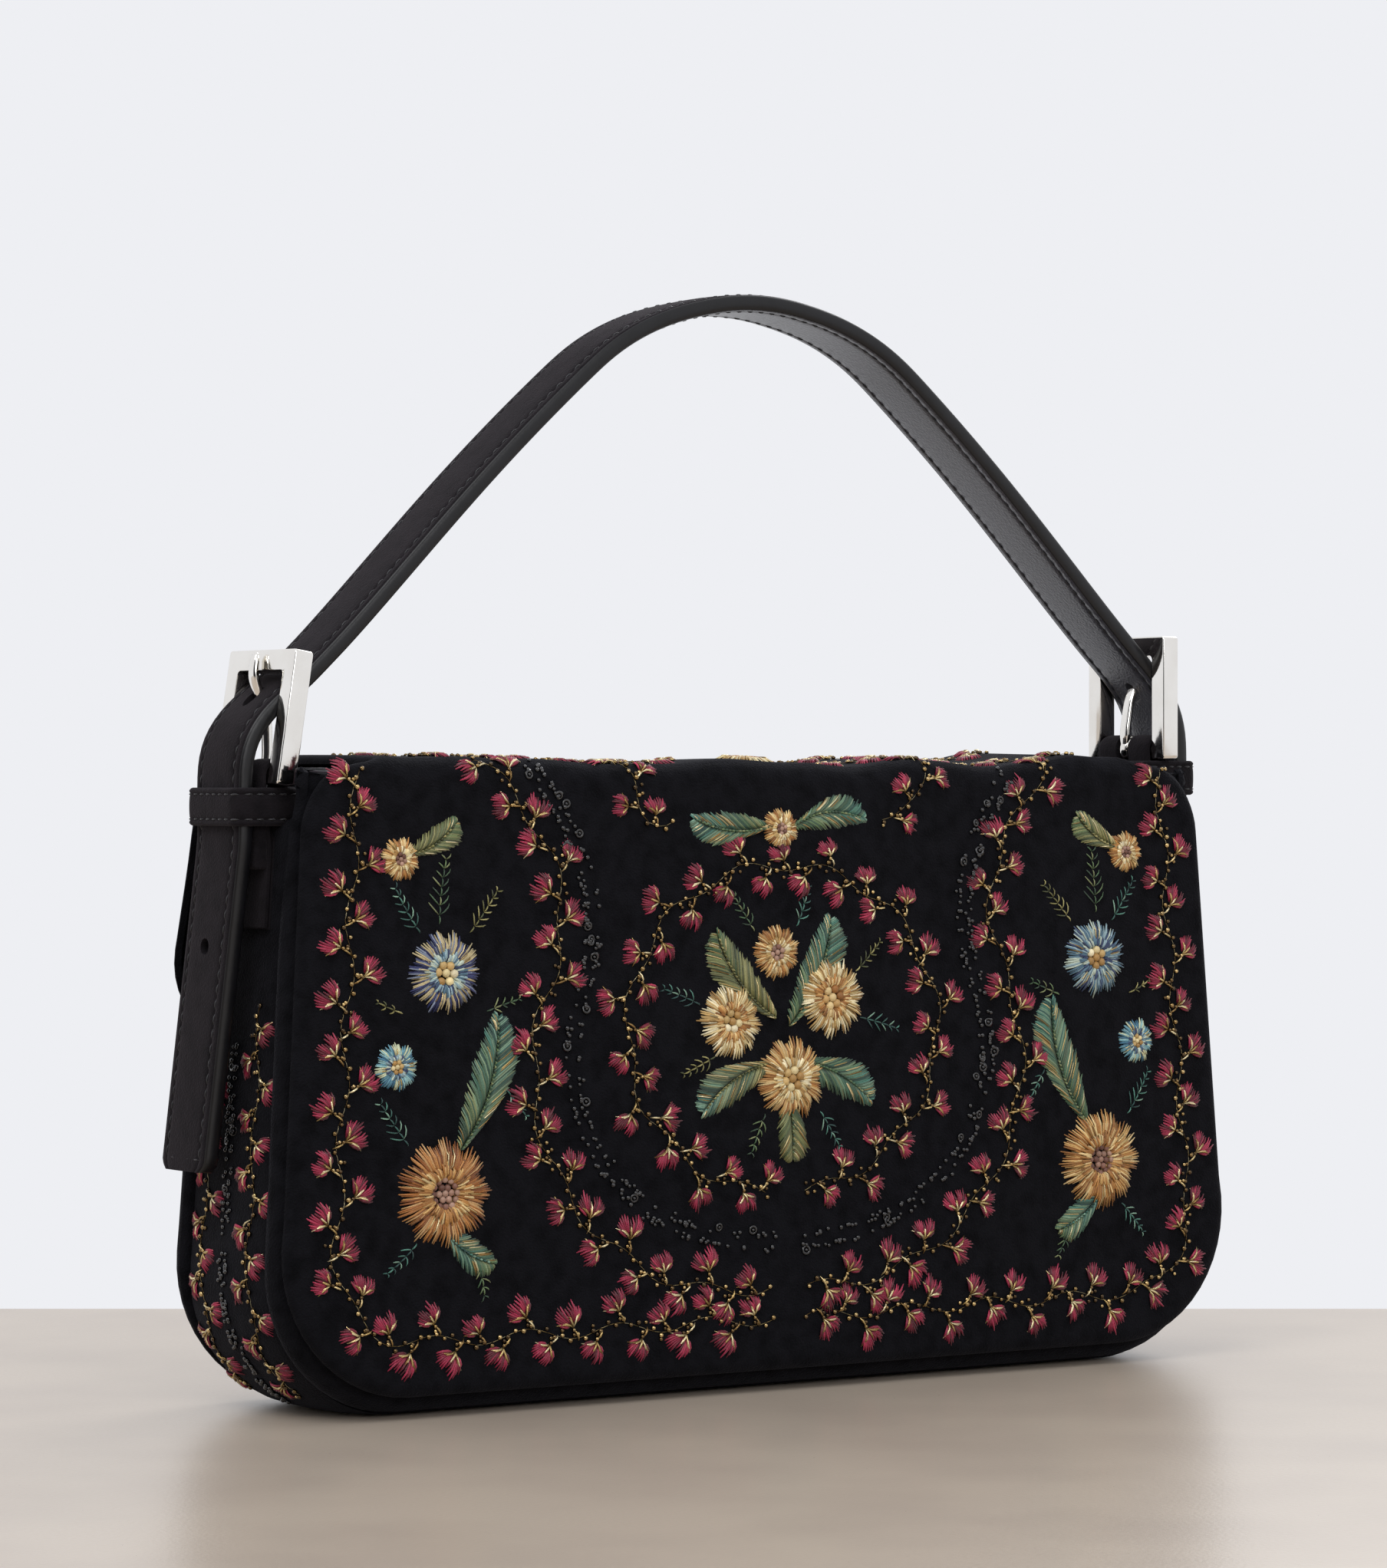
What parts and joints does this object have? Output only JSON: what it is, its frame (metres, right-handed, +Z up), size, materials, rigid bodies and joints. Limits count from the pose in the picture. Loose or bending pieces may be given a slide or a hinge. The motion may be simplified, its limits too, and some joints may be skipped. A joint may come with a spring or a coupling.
{
  "type": "baguette bag",
  "caption": "Small soft shoulder bag with a full front flap, rounded corners, a short suede strap and square metal buckles at its sides.",
  "frame": {"origin": "middle of the flat base, where the bag stands", "axes": "+X along the width to the viewer's right, -Y towards the flap's front, +Z up"},
  "size_m": [0.2864, 0.0595, 0.2616],
  "materials": {
    "velvet": "short-pile black velvet with a soft blue-grey sheen",
    "suede": "matte black suede with painted edges",
    "smooth_leather": "satin, lightly pebbled",
    "lining_cloth": "fine twill, slightly satin",
    "stiffener": "pressed fibre board, hidden",
    "polished_metal": "polished palladium-coloured plating",
    "magnet_steel": "plated disc, hidden",
    "zip_tape": "woven tape",
    "embroidery_thread": "stranded cotton and silk stitches in wine red, cream, blue and sage",
    "gold_thread": "twisted metallic gold thread",
    "beads": "gold-lined and jet seed beads"
  },
  "bodies": {
    "root": {"front_panel": "velvet", "front_board": "stiffener", "front_lining": "lining_cloth", "front_facing": "smooth_leather", "slip_pocket": "lining_cloth", "body_magnet": "magnet_steel", "back_panel": "velvet", "back_board": "stiffener", "back_lining": "lining_cloth", "back_facing": "smooth_leather", "pocket_bag": "lining_cloth", "label_patch": "smooth_leather", "gusset": "velvet", "gusset_lining": "lining_cloth", "base_board": "stiffener", "zip_frame": "smooth_leather", "zip_tape": "zip_tape", "zip_teeth": "polished_metal", "flap_back": "velvet", "left_tab": "suede", "right_tab": "suede", "left_keeper": "suede", "right_keeper": "suede", "left_tail": "suede", "right_tail": "suede", "left_tail_lining": "smooth_leather", "right_tail_lining": "smooth_leather"},
    "handle": {"strap": "suede", "strap_lining": "smooth_leather", "left_chape": "suede", "right_chape": "suede", "left_buckle": "polished_metal", "right_buckle": "polished_metal"},
    "left_prong": {"left_prong": "polished_metal"},
    "right_prong": {"right_prong": "polished_metal"},
    "flap_top": {"flap_top": "velvet", "flap_top_lining": "smooth_leather"},
    "flap_front": {"flap_front": "velvet", "flap_board": "stiffener", "flap_front_lining": "smooth_leather", "flap_magnet": "magnet_steel"},
    "zip_slider": {"zip_slider": "polished_metal"},
    "zip_puller": {"zip_puller": "smooth_leather"}
  },
  "joints": [
    {"name": "flap_top_fold", "type": "hinge", "parent": "root", "child": "flap_top", "pos_m": [0, 0.0269, 0.1509], "axis": [-1, 0, 0], "range_deg": [0, 30]},
    {"name": "flap_front_fold", "type": "hinge", "parent": "flap_top", "child": "flap_front", "pos_m": [0, -0.0269, 0.1509], "axis": [-1, 0, 0], "range_deg": [0, 170]},
    {"name": "handle_lean", "type": "hinge", "parent": "root", "child": "handle", "pos_m": [0, -0.002, 0.1493], "axis": [-0.9997, 0, -0.0257], "range_deg": [-30, 30]},
    {"name": "left_prong_lift", "type": "hinge", "parent": "handle", "child": "left_prong", "pos_m": [-0.12823, -0.002, 0.146], "axis": [0, -1, 0], "range_deg": [0, 5]},
    {"name": "right_prong_lift", "type": "hinge", "parent": "handle", "child": "right_prong", "pos_m": [0.12823, -0.002, 0.1526], "axis": [0, 1, 0], "range_deg": [0, 5]},
    {"name": "zip_slide", "type": "slide", "parent": "root", "child": "zip_slider", "axis": [1, 0, 0], "range_m": [0, 0.127]},
    {"name": "zip_puller_swing", "type": "hinge", "parent": "zip_slider", "child": "zip_puller", "pos_m": [-0.0645, 0.01431, 0.108], "axis": [-1, 0, 0], "range_deg": [0, 110]}
  ]
}
